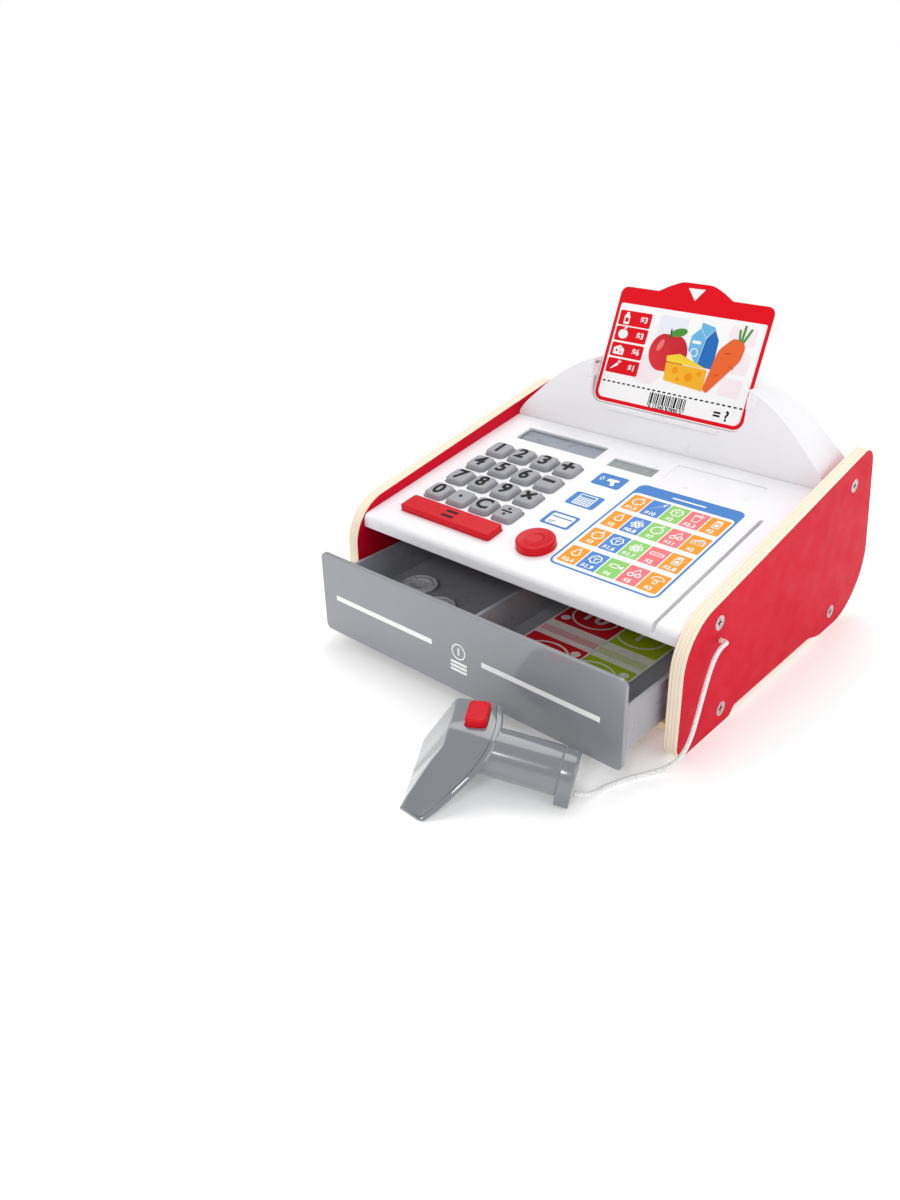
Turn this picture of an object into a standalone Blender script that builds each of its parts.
"""Toy cash register with a calculator console, a sprung coin drawer, a list card and a corded scanner.

X runs to the right, Y to the back and Z up. Sizes are in millimetres until the mesh helpers scale them.
"""

from math import ceil, cos, pi, radians, sin, sqrt, tan

import bmesh
import bpy
from mathutils import Matrix, Vector

MM = 0.001
GAP = 0.3                      # air between touching pieces
FRONT_Y = -65.74               # the side panels' front bottom corner, from the middle of the whole object

# Case
HALF_WIDTH = 150.0
PANEL_THICKNESS = 10.2
INNER = HALF_WIDTH - PANEL_THICKNESS - GAP   # half width of what lies between the side panels
SCREW_PLACES = ((40.6, 84.9), (54.3, 13.6), (220.9, 14.5), (229.9, 115.6))
SCREW_HEAD_RADIUS = 5.0
BOARD_FRONT, BOARD_BOTTOM, BOARD_TOP = 5.0, 17.0, 22.7
BACK_Y = 245.0
BACK_PANEL = 4.0

# Console: a plate that rises to the back
CONSOLE_Z = 85.4
CONSOLE_TILT = radians(9.52)
SHELL = 3.0
LIP_FRONT, LIP_BOTTOM = 9.5, 76.5

# Hood
HOOD_Y, HOOD_Z = 199.7, 118.9
HOOD_LEAN = radians(8.0)
HOOD_SKIRT = 9.0
HOOD_DROP = 3.0                # how far its top falls towards the back
HOOD_HALF_PROFILE = ((139.5, 3), (134, 11), (121, 24), (108.7, 36), (96, 46), (85.8, 52.5), (77, 57),
                     (70, 60), (58, 62.5), (30, 64.5))

# Keys
KEY_X = (-108.6, -85.6, -62.2, -39.4)
KEY_U = (138.6, 113.6, 88.6, 63.4)
KEY_NAMES = (("1", "2", "3", "plus"), ("4", "5", "6", "minus"), ("7", "8", "9", "times"),
             ("0", "point", "clear", "divide"))
KEY_WIDTH, KEY_TOP, KEY_BOTTOM = 20.0, 4.0, -4.0
EQUALS_X, EQUALS_U, EQUALS_TOP = (-118.5, -29.5), (29.0, 47.0), 5.0
BUTTON_X, BUTTON_U, BUTTON_RADIUS, BUTTON_TOP, BUTTON_BOTTOM = 3.6, 43.1, 14.5, 6.0, -6.0
LCD_X, LCD_U = (-113.2, -32.5), (164.5, 185.0)
SOLAR_X, SOLAR_U = (-19.0, 22.3), (161.0, 174.0)
RECESS_X, RECESS_U, RECESS_DEPTH = (30.0, 105.0), (161.3, 188.0), 1.2
GROOVE_X, GROOVE_WIDTH, GROOVE_DEPTH, GROOVE_END = 121.5, 3.0, 7.6, 147.0

# Drawer, drawn part of the way out
TRAY_HALF, TRAY_WALL = 134.6, 3.0
TRAY_FRONT, TRAY_BACK, TRAY_BOTTOM, TRAY_TOP = -35.8, 150.0, 23.2, 53.6
DIVIDER_X = -8.0
FRONT_HALF, FRONT_FACE, FRONT_THICKNESS = 135.65, -39.7, 3.6
FRONT_BOTTOM, FRONT_TOP = 9.7, 75.0
COIN_RADIUS, COIN_THICKNESS = 14.5, 2.5
COIN_PLACES = ((-105.0, 33.0), (-70.0, 15.6))
NOTE_Y = (-8.0, 102.0)

# Latch that the drawer button works
LEVER_X = (-9.0, -6.0)
PIVOT = (63.0, 76.0)
PIN_RADIUS = 1.5

# List card
CARD_Y, CARD_Z = 203.0, 140.0
CARD_LEAN = radians(23.25)
CARD_X, CARD_H, CARD_THICKNESS = (-67.0, 69.7), (5.3, 100.8), 1.6
CARD_DOME = (-27.0, 28.4, 110.3)
EAR_X, EAR_H, EAR_PROUD = ((-74.0, -68.2), (70.9, 77.4)), (45.0, 55.4), 2.0

# Scanner, lying on its side in front of the right panel
SCANNER_TURN = (0.951, 0.309)
# Corners of the head from its back to its nose: b towards the nose, a along the handle, and height
HEAD_RIDGE = ((85, 9.8, 40), (99.6, 14.2, 39.4), (113.2, 16.6, 37.9), (121, 17.2, 32), (129.8, 12.6, 24.6),
              (138, 8.4, 16.5), (145.5, 4.8, 8.8), (151.2, 1.9, 1.8))
HEAD_EDGE = ((82.7, 40.6, 40), (99, 46.7, 39.4), (113, 49, 37.9), (122.5, 47, 31.5), (131.5, 42.3, 24),
             (140, 35, 15.8), (149, 27, 8), (156.5, 19.4, 1.8))
HEAD_LEFT_FEET = ((83.5, -15.4), (151.0, 1.4))
HEAD_RIGHT_FEET = ((82.7, 18), (99, 23), (113, 24.5), (122.5, 25), (131.5, 23.8), (140, 22.6), (149, 21),
                   (156.1, 18.8))
HEAD_CROWN = 1.2
TRIGGER_CENTRE, TRIGGER_SIZE, TRIGGER_TURN, TRIGGER_Z = (98.3, 30.2), (21.5, 13.6), radians(13), (31.5, 45.0)
HANDLE_START, HANDLE_END, HANDLE_RADIUS = (73.2, -89.4, 24.0), (119.1, -66.1, 15.9), 15.5
HANDLE_REACH, CAP_REACH = (-16.0, 43.9), (44.2, 53.9)   # along the handle from its start

# Cord
CORD_RADIUS = 1.5
CORD_HOLE = (43.4, 71.3)
CORD_ROUTE = ((150.7, 43.4, 71.3), (153.4, 43.2, 71.5), (155.4, 40.8, 72.4), (156.0, 36.2, 73.0),
              (156.2, 30.4, 72.0), (156.3, 24.2, 67.0), (156.5, 18.6, 57.5), (156.8, 13.4, 46.0),
              (156.9, 8.8, 34.0), (156.6, 4.6, 22.5), (155.2, 0.4, 13.0), (152.6, -4.2, 6.4),
              (149.2, -9.8, 3.0), (145.2, -17.0, 1.7), (140.8, -24.6, 1.7), (136.4, -33.0, 1.7),
              (132.6, -42.5, 1.7), (130.2, -49.5, 1.7), (129.2, -56.0, 2.1), (128.4, -61.0, 3.2),
              (127.0, -65.0, 4.4), (124.8, -67.7, 5.2), (121.9, -69.2, 5.6))

WORLD = Matrix.Translation((0, FRONT_Y, 0))


def frame_of(origin, x_axis, y_axis):
    """A matrix in millimetres from a local frame, given two of its axes, to the world."""
    x_axis, y_axis = Vector(x_axis), Vector(y_axis)
    axes = Matrix((x_axis, y_axis, x_axis.cross(y_axis))).transposed().to_4x4()
    return WORLD @ Matrix.Translation(origin) @ axes


SIDE_VIEW = frame_of((0, 0, 0), (0, 1, 0), (0, 0, 1))
PLAN = frame_of((0, 0, 0), (1, 0, 0), (0, 1, 0))
CONSOLE = frame_of((0, 0, CONSOLE_Z), (1, 0, 0), (0, cos(CONSOLE_TILT), sin(CONSOLE_TILT)))
FACE = frame_of((0, HOOD_Y, HOOD_Z), (1, 0, 0), (0, sin(HOOD_LEAN), cos(HOOD_LEAN)))
CARD = frame_of((0, CARD_Y, CARD_Z), (1, 0, 0), (0, sin(CARD_LEAN), cos(CARD_LEAN)))
SCANNER = frame_of((0, 0, 0), (SCANNER_TURN[1], -SCANNER_TURN[0], 0), (*SCANNER_TURN, 0))


# Materials and objects

def material(name, colour, roughness, metallic=0.0):
    made = bpy.data.materials.new(name)
    made.use_nodes = True
    shader = made.node_tree.nodes["Principled BSDF"]
    shader.inputs["Base Color"].default_value = (*colour, 1)
    shader.inputs["Roughness"].default_value = roughness
    shader.inputs["Metallic"].default_value = metallic
    return made


def clear_scene():
    for old in list(bpy.data.objects):
        bpy.data.objects.remove(old)


def new_collection(name, hidden=False):
    made = bpy.data.collections.new(name)
    bpy.context.scene.collection.children.link(made)
    made.hide_render = hidden
    return made


def place(name, mesh, frame):
    """An object in metres whose mesh is still in millimetres of the local frame."""
    mesh.transform(Matrix.Scale(MM, 4))
    made = bpy.data.objects.new(name, mesh)
    made.matrix_world = Matrix.Translation(frame.to_translation() * MM) @ frame.to_3x3().to_4x4()
    CUTTERS.objects.link(made)
    made.hide_render = True
    made.display_type = "WIRE"
    return made


def show(obj, paint, smooth_angle=35):
    """Moves an object from the cutters to the finished pieces."""
    CUTTERS.objects.unlink(obj)
    PIECES.objects.link(obj)
    obj.hide_render = False
    obj.display_type = "TEXTURED"
    obj.data.materials.clear()
    obj.data.materials.append(paint)
    obj.data.shade_smooth()
    obj.data.set_sharp_from_angle(angle=radians(smooth_angle))
    return obj


def tidy(mesh):
    """Joins a mesh's loose caps to its sides and turns its faces out."""
    shape = bmesh.new()
    shape.from_mesh(mesh)
    bmesh.ops.remove_doubles(shape, verts=shape.verts, dist=1e-3)
    bmesh.ops.recalc_face_normals(shape, faces=shape.faces)
    shape.to_mesh(mesh)
    shape.free()
    return mesh


def rounded(corners, step=30):
    """A closed outline from (x, y, radius) corners, each turned into an arc with a point every step degrees."""
    outline = []
    for i, (x, y, radius) in enumerate(corners):
        here = Vector((x, y))
        before = (Vector(corners[i - 1][:2]) - here).normalized()
        after = (Vector(corners[(i + 1) % len(corners)][:2]) - here).normalized()
        if radius <= 0:
            outline.append(here)
            continue
        half = before.angle(after) / 2
        centre = here + (before + after).normalized() * radius / sin(half)
        start = here + before * radius / tan(half) - centre
        turn = (pi - 2 * half) * (1 if before.cross(after) < 0 else -1)
        count = max(1, ceil(abs(turn) / radians(step)))
        outline += [centre + Matrix.Rotation(turn * k / count, 2) @ start for k in range(count + 1)]
    return outline


def rectangle(x_range, y_range, radius=0.0, step=30):
    (left, right), (low, high) = sorted(x_range), sorted(y_range)
    return rounded(((left, low, radius), (right, low, radius), (right, high, radius), (left, high, radius)),
                   step)


def circle(x, y, radius, sides=24):
    return [Vector((x + radius * cos(2 * pi * k / sides), y + radius * sin(2 * pi * k / sides)))
            for k in range(sides)]


def mesh_of_curve(curve):
    holder = bpy.data.objects.new("outline", curve)
    bpy.context.scene.collection.objects.link(holder)
    bpy.context.view_layer.update()
    mesh = bpy.data.meshes.new_from_object(holder.evaluated_get(bpy.context.evaluated_depsgraph_get()))
    bpy.data.objects.remove(holder)
    bpy.data.curves.remove(curve)
    return mesh


def plate(name, loops, low, high, frame):
    """A flat piece between two local heights; a loop inside another is a hole through it."""
    curve = bpy.data.curves.new(name, "CURVE")
    curve.dimensions = "2D"
    curve.fill_mode = "BOTH"
    curve.extrude = (high - low) / 2
    for loop in loops:
        spline = curve.splines.new("POLY")
        spline.points.add(len(loop) - 1)
        spline.use_cyclic_u = True
        for point, (x, y) in zip(spline.points, loop):
            point.co = (x, y, 0, 1)
    mesh = mesh_of_curve(curve)
    mesh.transform(Matrix.Translation((0, 0, (low + high) / 2)))
    return place(name, tidy(mesh), frame)


def box(name, x_range, y_range, z_range, frame=WORLD):
    shape = bmesh.new()
    bmesh.ops.create_cube(shape, size=1)
    ranges = (x_range, y_range, z_range)
    middle = Vector([(low + high) / 2 for low, high in ranges])
    size = [high - low for low, high in ranges]
    bmesh.ops.scale(shape, vec=size, verts=shape.verts)
    bmesh.ops.translate(shape, vec=middle, verts=shape.verts)
    mesh = bpy.data.meshes.new(name)
    shape.to_mesh(mesh)
    shape.free()
    return place(name, mesh, frame)


def turned(name, profile, steps, frame):
    """A solid turned about the frame's Z axis; the profile runs from its top at the axis to its bottom."""
    mesh = bpy.data.meshes.new(name)
    mesh.from_pydata([(radius, 0, height) for radius, height in profile],
                     [(i, i + 1) for i in range(len(profile) - 1)], [])
    made = place(name, mesh, frame)
    screw = made.modifiers.new("Turn", "SCREW")
    screw.steps = screw.render_steps = steps
    screw.use_merge_vertices = True
    screw.merge_threshold = 0.00001
    return made


def tube(name, points, radius, frame=WORLD, resolution=2):
    curve = bpy.data.curves.new(name, "CURVE")
    curve.dimensions = "3D"
    curve.bevel_depth = radius
    curve.bevel_resolution = resolution
    curve.use_fill_caps = True
    spline = curve.splines.new("POLY")
    spline.points.add(len(points) - 1)
    for point, co in zip(spline.points, points):
        point.co = (*co, 1)
    return place(name, tidy(mesh_of_curve(curve)), frame)


def boolean(target, other, operation="DIFFERENCE"):
    modifier = target.modifiers.new(operation.title(), "BOOLEAN")
    modifier.object = other
    modifier.operation = operation
    modifier.solver = "EXACT"
    return target


def bevel(target, width, segments=1, angle=50):
    modifier = target.modifiers.new("Rounded edges", "BEVEL")
    modifier.width = width * MM
    modifier.segments = segments
    modifier.limit_method = "ANGLE"
    modifier.angle_limit = radians(angle)
    return target


def smooth_path(route, spacing):
    """Evenly spaced points on a Catmull-Rom curve through the route's own points."""
    route = [Vector(point) for point in route]
    ends = [2 * route[0] - route[1], *route, 2 * route[-1] - route[-2]]
    fine = []
    for a, b, c, d in zip(ends, ends[1:], ends[2:], ends[3:]):
        for k in range(12):
            t = k / 12
            fine.append(0.5 * (2 * b + (c - a) * t + (2 * a - 5 * b + 4 * c - d) * t ** 2
                               + (3 * b - a - 3 * c + d) * t ** 3))
    fine.append(route[-1])
    lengths = [0.0]
    for a, b in zip(fine, fine[1:]):
        lengths.append(lengths[-1] + (b - a).length)
    count = round(lengths[-1] / spacing)
    path, i = [], 0
    for k in range(count + 1):
        wanted = lengths[-1] * k / count
        while i < len(fine) - 2 and lengths[i + 1] < wanted:
            i += 1
        part = (wanted - lengths[i]) / (lengths[i + 1] - lengths[i])
        path.append(fine[i].lerp(fine[i + 1], part))
    return path


def coil(x, y, low, high, radius, turns, steps=8):
    """Points of a spring about a local axis parallel to Z."""
    count = turns * steps
    return [(x + radius * cos(2 * pi * k / steps), y + radius * sin(2 * pi * k / steps),
             low + (high - low) * k / count) for k in range(count + 1)]


# Case

def panel_outline():
    """Side view of a panel: sloping top, rounded corners and a low arch between two feet."""
    return rounded(((0, 0, 12), (68, 0, 2), (73.5, 6, 4), (186, 6, 30), (204, 0, 30), (285.2, 0, 45),
                    (256, 141.3, 15), (0.8, 92.8, 37)), step=11)


def screw_frame(side, place_on_panel):
    """Local Z points out of the panel's face, with the origin on the face."""
    y, z = place_on_panel
    return frame_of((side * HALF_WIDTH, y, z), (0, side, 0), (0, 0, 1))


def side_panel(name, side):
    inner, outer = sorted((side * (HALF_WIDTH - PANEL_THICKNESS), side * HALF_WIDTH))
    panel = bevel(plate(name, [panel_outline()], inner, outer, SIDE_VIEW), 0.7)
    for spot in SCREW_PLACES:
        sink = turned("screw_sink", ((0, 1), (SCREW_HEAD_RADIUS + GAP, 1), (SCREW_HEAD_RADIUS + GAP, -0.6),
                                     (2.4, -3.6), (2.4, -12), (0, -12)), 16, screw_frame(side, spot))
        boolean(panel, sink)
    if side > 0:
        boolean(panel, plate("cord_hole", [circle(*CORD_HOLE, CORD_RADIUS + 0.5, 12)], 130, 160, SIDE_VIEW))
    return show(panel, RED_PAINT)


def panel_screw(number, side, spot):
    frame = screw_frame(side, spot)
    screw = turned(f"panel_screw_{number}", ((0, -0.2), (SCREW_HEAD_RADIUS, -0.2), (SCREW_HEAD_RADIUS, -0.7),
                                             (2.1, -3.5), (2.1, -16), (0, -18)), 16, frame)
    slots = [rectangle((-2.6, 2.6), (-0.6, 0.6)), rectangle((-0.6, 0.6), (-2.6, 2.6))]
    for slot in slots:
        boolean(screw, plate("screw_recess", [slot], -2.2, 1, frame))
    return show(screw, STEEL)


def screw_bore(name, side, spot):
    return turned(name, ((0, -5), (2.4, -5), (2.4, -20), (0, -20)), 12, screw_frame(side, spot))


def batten(name, y_range, spot):
    wood = box(name, (-INNER, INNER), y_range, (7.0, BOARD_BOTTOM - GAP))
    for side in (-1, 1):
        boolean(wood, screw_bore("batten_bore", side, spot))
    return show(wood, WOOD)


def case():
    side_panel("left_side_panel", -1)
    side_panel("right_side_panel", 1)
    sides_and_spots = [(side, spot) for side in (-1, 1) for spot in SCREW_PLACES]
    for number, (side, spot) in enumerate(sides_and_spots, 1):
        panel_screw(number, side, spot)
    show(bevel(box("base_board", (-INNER, INNER), (BOARD_FRONT, BACK_Y - BACK_PANEL - GAP),
                   (BOARD_BOTTOM, BOARD_TOP)), 0.5), WOOD)
    batten("front_batten", (47, 61), SCREW_PLACES[1])
    batten("rear_batten", (214, 228), SCREW_PLACES[2])
    show(box("back_panel", (-INNER, INNER), (BACK_Y - BACK_PANEL, BACK_Y), (7.0, HOOD_Z - HOOD_SKIRT - GAP)),
         WOOD)
    for name, side in (("left_runner", -1), ("right_runner", 1)):
        across = sorted((side * (TRAY_HALF + 0.6), side * INNER))
        show(bevel(box(name, across, (12, 240), (30, 40)), 0.8), WHITE)


# Console

def console_point(u, w):
    """(Y, Z) of a point u up the slope and w above the console's surface."""
    return (u * cos(CONSOLE_TILT) - w * sin(CONSOLE_TILT),
            CONSOLE_Z + u * sin(CONSOLE_TILT) + w * cos(CONSOLE_TILT))


def surface_z(y, w=0.0):
    return CONSOLE_Z + y * tan(CONSOLE_TILT) + w / cos(CONSOLE_TILT)


def shell_profile():
    back = HOOD_Y - 0.9
    return rounded(((LIP_FRONT, LIP_BOTTOM, 0), (LIP_FRONT + SHELL, LIP_BOTTOM, 0),
                    (LIP_FRONT + SHELL, surface_z(LIP_FRONT + SHELL, -SHELL), 2),
                    (back, surface_z(back, -SHELL), 0), (back, surface_z(back), 0),
                    (LIP_FRONT, surface_z(LIP_FRONT), 5)), step=18)


def key_hole(x, u):
    half = KEY_WIDTH / 2 + GAP
    return rectangle((x - half, x + half), (u - half, u + half), 4.3, step=45)


def grown(span, by=GAP):
    return span[0] - by, span[1] + by


def shell_holes():
    keys = [key_hole(x, u) for u in KEY_U for x in KEY_X]
    others = [rectangle(grown(EQUALS_X), grown(EQUALS_U), 2.5), rectangle(LCD_X, LCD_U, 1.5, step=90),
              rectangle(SOLAR_X, SOLAR_U, 0), circle(BUTTON_X, BUTTON_U, BUTTON_RADIUS + GAP)]
    return plate("shell_holes", keys + others, -20, 20, CONSOLE)


def top_shell():
    shell = plate("top_shell", [shell_profile()], -INNER, INNER, SIDE_VIEW)
    trough_half = GROOVE_WIDTH / 2 + 1.8
    trough = box("trough", (GROOVE_X - trough_half, GROOVE_X + trough_half), (LIP_FRONT + 2, GROOVE_END + 2),
                 (-GROOVE_DEPTH - 1.6, -1), CONSOLE)
    boolean(shell, trough, "UNION")
    for side in (-1, 1):
        spot_y, spot_z = SCREW_PLACES[0]
        across = sorted((side * 129.5, side * (INNER - 0.1)))
        boss = box("shell_boss", across, (spot_y - 5, spot_y + 5),
                   (spot_z - 4.5, surface_z(spot_y - 5, -SHELL) + 1.5))
        boolean(shell, boss, "UNION")
        boolean(shell, screw_bore("shell_bore", side, SCREW_PLACES[0]))
    boolean(shell, shell_holes())
    boolean(shell, plate("recess", [rectangle(RECESS_X, RECESS_U, 3)], -RECESS_DEPTH, 9, CONSOLE))
    boolean(shell, box("groove", (GROOVE_X - GROOVE_WIDTH / 2, GROOVE_X + GROOVE_WIDTH / 2), (-30, GROOVE_END),
                       (-GROOVE_DEPTH, 20), CONSOLE))
    return show(shell, WHITE)


def key(name, x, u):
    half = KEY_WIDTH / 2
    cap = plate(name, [rectangle((x - half, x + half), (u - half, u + half), 4, step=45)], KEY_BOTTOM, KEY_TOP,
                CONSOLE)
    return show(bevel(cap, 1.8, angle=60), KEY_GREY)


def calculator():
    for names, u in zip(KEY_NAMES, KEY_U):
        for name, x in zip(names, KEY_X):
            key(f"key_{name}", x, u)
    equals = plate("equals_key", [rectangle(EQUALS_X, EQUALS_U, 2.2)], KEY_BOTTOM, EQUALS_TOP, CONSOLE)
    show(bevel(equals, 1.2, angle=60), RED_PLASTIC)
    window = rectangle(grown(LCD_X, -GAP), grown(LCD_U, -GAP), 1.2, step=90)
    show(plate("display_window", [window], -2.6, -1.6, CONSOLE), CLEAR)
    show(plate("lcd_panel", [rectangle(grown(LCD_X, 4), grown(LCD_U, 3))], -5.6, -3.3, CONSOLE), LCD_GREY)
    cell = rectangle(grown(SOLAR_X, -GAP), grown(SOLAR_U, -GAP))
    show(plate("solar_cell", [cell], -3.0, -1.6, CONSOLE), SOLAR)
    show(plate("circuit_board", [rectangle((-128, -16), (50, 192), 2)], -9.0, -7.4, CONSOLE), BOARD_GREEN)
    show(plate("keypad_membrane", [rectangle((-123, -25), (51, 152), 2)], -7.1, -6.0, CONSOLE), RUBBER)


# Hood

def hood_outline(inset):
    """Front view of the hood, as (x, height up its face), moved in by the wall's thickness."""
    right = [(x, h) for x, h in HOOD_HALF_PROFILE]
    outline = [Vector((INNER, -HOOD_SKIRT)), *map(Vector, right)]
    outline += [Vector((-x, h)) for x, h in reversed(right)] + [Vector((-INNER, -HOOD_SKIRT))]
    if not inset:
        return outline
    moved = []
    for i in range(1, len(outline) - 1):
        before = (outline[i] - outline[i - 1]).normalized()
        after = (outline[i + 1] - outline[i]).normalized()
        inward = Vector((-before.y - after.y, before.x + after.x)).normalized()
        moved.append(outline[i] + inward * inset / sqrt((1 + before.dot(after)) / 2))
    below = -HOOD_SKIRT - 10
    return [Vector((INNER - inset, below)), *moved, Vector((inset - INNER, below))]


def hood_body(name, inset):
    """A loft from the leaning front face to the upright back, as a plate whose two sides are moved there."""
    made = plate(name, [hood_outline(inset)], 0, 1, WORLD)
    front_inset, back = inset / cos(HOOD_LEAN), BACK_Y - inset
    for vertex in made.data.vertices:
        x, h, depth = vertex.co / MM
        z = HOOD_Z + h * cos(HOOD_LEAN)
        front = HOOD_Y + h * sin(HOOD_LEAN) + front_inset
        drop = HOOD_DROP * max(h, 0) / HOOD_HALF_PROFILE[-1][1]
        vertex.co = Vector((x, front, z)) * MM if depth < 0.5 else Vector((x, back, z - drop)) * MM
    tidy_metres(made.data)
    return made


def tidy_metres(mesh):
    shape = bmesh.new()
    shape.from_mesh(mesh)
    bmesh.ops.recalc_face_normals(shape, faces=shape.faces)
    shape.to_mesh(mesh)
    shape.free()


def hood():
    body = hood_body("hood", 0)
    boolean(body, hood_body("hood_hollow", SHELL))
    pocket_wall = box("pocket_wall", (CARD_X[0] - 5, CARD_X[1] + 5), (-2, 46.5), (-CARD_THICKNESS - 3.6, -0.5),
                      CARD)
    boolean(body, boolean(pocket_wall, hood_above_cutter()), "UNION")
    pocket = rectangle((CARD_X[0] - 1, CARD_X[1] + 1), (CARD_H[0] - 0.6, 90), 9.5, step=20)
    boolean(body, plate("card_pocket", [pocket], -CARD_THICKNESS - 0.4, 40, CARD))
    boolean(body, box("card_ledge", (-49, 51), (22.3, 25.6), (-4, 3.2), FACE), "UNION")
    for x_range in EAR_X:
        boolean(body, box("card_ear", x_range, EAR_H, (-12.5, EAR_PROUD), FACE), "UNION")
    slot = rectangle((CARD_X[0] - 0.8, CARD_X[1] + 0.8), (CARD_H[0] + 10, 90))
    boolean(body, plate("card_slot", [slot], -CARD_THICKNESS - 0.2, GAP, CARD))
    for side in (-1, 1):
        spot_y, spot_z = SCREW_PLACES[3]
        across = sorted((side * 129.5, side * (INNER - 0.1)))
        boss = box("hood_boss", across, (spot_y - 5, spot_y + 5), (spot_z - 5.4, spot_z + 6))
        boolean(body, boss, "UNION")
        boolean(body, screw_bore("hood_bore", side, SCREW_PLACES[3]))
    return show(body, WHITE)


def hood_above_cutter():
    """The space over the hood's outline, which the wall of the card's pocket has to stay below."""
    fall = cos(HOOD_LEAN) - HOOD_DROP / HOOD_HALF_PROFILE[-1][1]
    right = [(x, HOOD_Z + h * fall) for x, h in HOOD_HALF_PROFILE]
    outline = right + [(-x, z) for x, z in reversed(right)]
    outline += [(-HALF_WIDTH, right[0][1]), (-HALF_WIDTH, 260), (HALF_WIDTH, 260), (HALF_WIDTH, right[0][1])]
    upright = frame_of((0, 0, 0), (1, 0, 0), (0, 0, 1))
    return plate("above_hood", [outline], -BACK_Y - 20, 20 - HOOD_Y, upright)


def list_card():
    (left, right), (low, high) = CARD_X, CARD_H
    dome_left, dome_right, dome_top = CARD_DOME
    rise = dome_top - high
    outline = rounded(((left, low, 9), (right, low, 9), (right, high, 7), (dome_right + 6, high, 5),
                       (dome_right - 8, high + rise, 16), (dome_left + 8, high + rise, 16),
                       (dome_left - 6, high, 5), (left, high, 7)), step=18)
    show(plate("list_card", [outline], -CARD_THICKNESS, 0, CARD), CARD_WHITE)


# Drawer

def drawer_tray():
    tray = box("drawer_tray", (-TRAY_HALF, TRAY_HALF), (TRAY_FRONT, TRAY_BACK), (TRAY_BOTTOM, TRAY_TOP))
    inside = TRAY_HALF - TRAY_WALL
    for x_range in ((-inside, DIVIDER_X - TRAY_WALL / 2), (DIVIDER_X + TRAY_WALL / 2, inside)):
        hollow = plate("compartment", [rectangle(x_range, (TRAY_FRONT + TRAY_WALL, TRAY_BACK - TRAY_WALL), 4)],
                       TRAY_BOTTOM + TRAY_WALL, TRAY_TOP + 5, PLAN)
        boolean(tray, hollow)
    return show(tray, DRAWER_GREY)


def drawer_front():
    front_frame = frame_of((0, FRONT_FACE, 0), (1, 0, 0), (0, 0, 1))
    outline = rectangle((-FRONT_HALF, FRONT_HALF), (FRONT_BOTTOM, FRONT_TOP), 5, step=15)
    front = plate("drawer_front", [outline], -FRONT_THICKNESS, 0, front_frame)
    return show(bevel(front, 0.6), DRAWER_GREY)


def drawer_contents():
    floor = TRAY_BOTTOM + TRAY_WALL
    show(plate("note_one", [rectangle((46, 98), NOTE_Y, 2, step=45)], floor + GAP, floor + 0.7, PLAN),
         NOTE_GREEN)
    show(plate("note_ten", [rectangle((7, 58), NOTE_Y, 2, step=45)], floor + 1.0, floor + 1.4, PLAN), NOTE_RED)
    for number, (x, y) in enumerate(COIN_PLACES, 1):
        coin = plate(f"coin_{number}", [circle(x, y, COIN_RADIUS, 32)], floor + GAP,
                     floor + GAP + COIN_THICKNESS, PLAN)
        show(bevel(coin, 0.5), COIN_GREY)


# Latch

def latch():
    button = plate("drawer_button", [circle(BUTTON_X, BUTTON_U, BUTTON_RADIUS, 28)], BUTTON_BOTTOM, BUTTON_TOP,
                   CONSOLE)
    show(bevel(button, 1.2, 2), RED_PLASTIC)
    spring = coil(BUTTON_X, BUTTON_U, -17.0, BUTTON_BOTTOM - 0.8, 5, 4)
    show(tube("button_spring", spring, 0.45, CONSOLE, 1), STEEL)
    lever = rounded(((40, 81, 1), (57, 80, 3), (57, 71, 4), (84, 71, 4), (86, TRAY_TOP + 0.6, 0),
                     (91, TRAY_TOP + 0.6, 0), (91, 80, 4), (68, 82, 3), (52, 85, 3), (40, 85, 1)), step=45)
    show(plate("latch_lever", [lever, circle(*PIVOT, PIN_RADIUS + GAP, 16)], *LEVER_X, SIDE_VIEW), STEEL)
    show(plate("latch_pin", [circle(*PIVOT, PIN_RADIUS, 12)], LEVER_X[0] - 5.7, LEVER_X[1] + 2, SIDE_VIEW), STEEL)
    cheek = rounded(((34, surface_z(34, -SHELL - GAP), 0), (34, 70, 3), (70, 70, 5),
                     (70, surface_z(70, -SHELL - GAP), 0)), step=45)
    bracket = plate("latch_bracket", [cheek, circle(*PIVOT, PIN_RADIUS + GAP, 16)], LEVER_X[0] - 6,
                    LEVER_X[0] - 3, SIDE_VIEW)
    shelf = box("spring_shelf", (LEVER_X[0] - 4.5, BUTTON_X + 7), (BUTTON_U - 6.5, BUTTON_U + 6.5), (-20, -18),
                CONSOLE)
    show(boolean(bracket, shelf, "UNION"), STEEL)
    ejector_frame = frame_of((0, 0, 0), (0, 0, 1), (1, 0, 0))
    ejector = coil(38, 40, TRAY_BACK + 1.8, BACK_Y - BACK_PANEL - 1.8, 7, 9)
    show(tube("ejector_spring", ejector, 0.6, ejector_frame, 1), STEEL)


# Scanner

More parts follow.
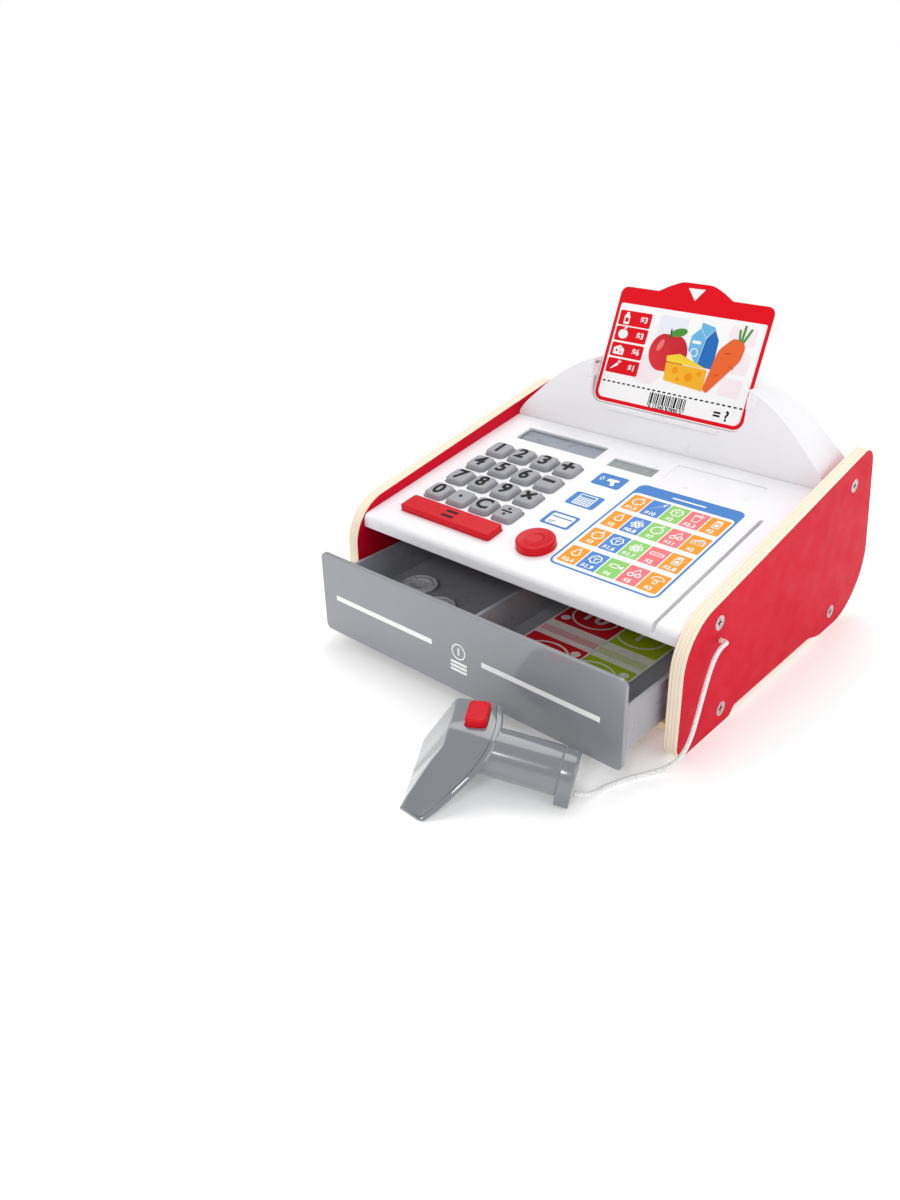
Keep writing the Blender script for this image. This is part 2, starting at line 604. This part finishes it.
def head_section(ridge, edge, right_foot):
    """One slice, ringed from where the left side meets the table, over the top, to the right side's foot."""
    share = (ridge[0] - HEAD_RIDGE[0][0]) / (HEAD_RIDGE[-1][0] - HEAD_RIDGE[0][0])
    left_foot = Vector(HEAD_LEFT_FEET[0]).lerp(Vector(HEAD_LEFT_FEET[1]), share)
    ridge, edge = Vector(ridge), Vector(edge)
    drop = min(1.4, ridge.z / 2)
    middle = (ridge + edge) / 2 + Vector((0, 0, HEAD_CROWN * (1 - share)))
    return (Vector((*left_foot, 0)), ridge + Vector((0, -0.8, -drop)), ridge + Vector((0, 0.8, 0)), middle,
            edge + Vector((0, -2, 0)), edge + Vector((0, 0, -drop)), Vector((*right_foot, 0)))


def head_solid(name):
    """A loft from the back to the nose; its right side leans in under the top's edge."""
    shape = bmesh.new()
    rings = [[shape.verts.new(point) for point in head_section(*corners)]
             for corners in zip(HEAD_RIDGE, HEAD_EDGE, HEAD_RIGHT_FEET)]
    for first, second in zip(rings, rings[1:]):
        for i in range(len(first)):
            j = (i + 1) % len(first)
            shape.faces.new((first[i], first[j], second[j], second[i]))
    shape.faces.new(rings[0])
    shape.faces.new(rings[-1])
    bmesh.ops.triangulate(shape, faces=shape.faces)
    bmesh.ops.recalc_face_normals(shape, faces=shape.faces)
    mesh = bpy.data.meshes.new(name)
    shape.to_mesh(mesh)
    shape.free()
    return place(name, mesh, SCANNER)


def trigger_outline(clearance=0.0):
    turn = Matrix.Rotation(TRIGGER_TURN, 2)
    half_b, half_a = TRIGGER_SIZE[0] / 2 + clearance, TRIGGER_SIZE[1] / 2 + clearance
    outline = rectangle((-half_b, half_b), (-half_a, half_a), 3)
    return [Vector(TRIGGER_CENTRE) + turn @ point for point in outline]


def scanner():
    head = head_solid("scanner_head")
    boolean(head, box("module_pocket", (97, 114), (11, 60), (12, 24), SCANNER))
    boolean(head, plate("trigger_pocket", [trigger_outline(GAP)], TRIGGER_Z[0] - 4, 60, SCANNER))
    show(head, SCANNER_GREY)
    show(box("scanner_sound_module", (98, 113), (13, 28), (13, 23), SCANNER), BOARD_GREEN)
    trigger = plate("scanner_trigger", [trigger_outline()], *TRIGGER_Z, SCANNER)
    show(bevel(trigger, 1.5, angle=60), RED_PLASTIC)
    start, end = Vector(HANDLE_START), Vector(HANDLE_END)
    ahead = (end - start).normalized()
    front = ahead.cross(Vector((0, 0, 1))).normalized()
    at = frame_of(start, front, ahead.cross(front))
    handle = plate("scanner_handle", [circle(0, 0, HANDLE_RADIUS, 32)], *HANDLE_REACH, at)
    boolean(handle, head_solid("head_side"))
    boolean(handle, over_head_cutter())
    show(handle, SCANNER_GREY)
    cap = plate("scanner_end_cap", [circle(0, 0, HANDLE_RADIUS, 32)], *CAP_REACH, at)
    foot = box("cap_foot", (4, 14.5), (5, 15.2), (CAP_REACH[0] + 0.2, CAP_REACH[1] - 0.5), at)
    show(boolean(bevel(cap, 1.5, 2), foot, "UNION"), SCANNER_GREY)


def over_head_cutter():
    """The space over the head's top, out to its right edge, where the handle may not stand."""
    backwards = frame_of((0, 0, 0), SCANNER.to_3x3() @ Vector((1, 0, 0)), (0, 0, 1))
    profile = [(b, z - 0.1) for b, _, z in HEAD_EDGE] + [(HEAD_EDGE[-1][0], 60), (HEAD_EDGE[0][0], 60)]
    return plate("over_head", [profile], -HEAD_EDGE[2][1] + 0.5, 0, backwards)


def cord():
    y, z = CORD_HOLE
    along_x = frame_of((0, y, z), (0, 1, 0), (0, 0, 1))
    knot = turned("cord_knot", ((0, 149.9), (CORD_RADIUS, 149.9), (CORD_RADIUS, 138.2), (3, 137.6), (4, 135.2),
                                (3.6, 132.6), (2, 131.2), (0, 130.8)), 12, along_x)
    show(knot, CORD_WHITE)
    show(tube("scanner_cord", smooth_path(CORD_ROUTE, 5.0), CORD_RADIUS), CORD_WHITE, 60)


clear_scene()
PIECES = new_collection("toy_cash_register")
CUTTERS = new_collection("cutters", hidden=True)
RED_PAINT = material("red_paint", (0.72, 0.008, 0.025), 0.45)
WOOD = material("plywood", (0.82, 0.6, 0.38), 0.6)
WHITE = material("white_plastic", (0.85, 0.85, 0.86), 0.35)
RED_PLASTIC = material("red_plastic", (0.75, 0.01, 0.03), 0.35)
KEY_GREY = material("key_grey", (0.26, 0.27, 0.29), 0.5)
DRAWER_GREY = material("drawer_grey", (0.22, 0.22, 0.24), 0.3)
SCANNER_GREY = material("scanner_grey", (0.16, 0.16, 0.17), 0.28)
CLEAR = material("window_clear", (0.8, 0.82, 0.85), 0.05)
LCD_GREY = material("lcd_grey", (0.3, 0.33, 0.37), 0.4)
SOLAR = material("solar_cell", (0.22, 0.27, 0.28), 0.25)
BOARD_GREEN = material("circuit_green", (0.02, 0.2, 0.08), 0.4)
RUBBER = material("membrane_rubber", (0.05, 0.05, 0.05), 0.8)
STEEL = material("steel", (0.6, 0.6, 0.62), 0.3, 1.0)
CARD_WHITE = material("card_white", (0.85, 0.85, 0.85), 0.35)
NOTE_RED = material("note_red", (0.6, 0.02, 0.02), 0.8)
NOTE_GREEN = material("note_green", (0.3, 0.4, 0.02), 0.8)
COIN_GREY = material("coin_grey", (0.4, 0.4, 0.4), 0.5)
CORD_WHITE = material("cord_white", (0.85, 0.85, 0.83), 0.8)

case()
top_shell()
calculator()
hood()
list_card()
drawer_tray()
drawer_front()
drawer_contents()
latch()
scanner()
cord()
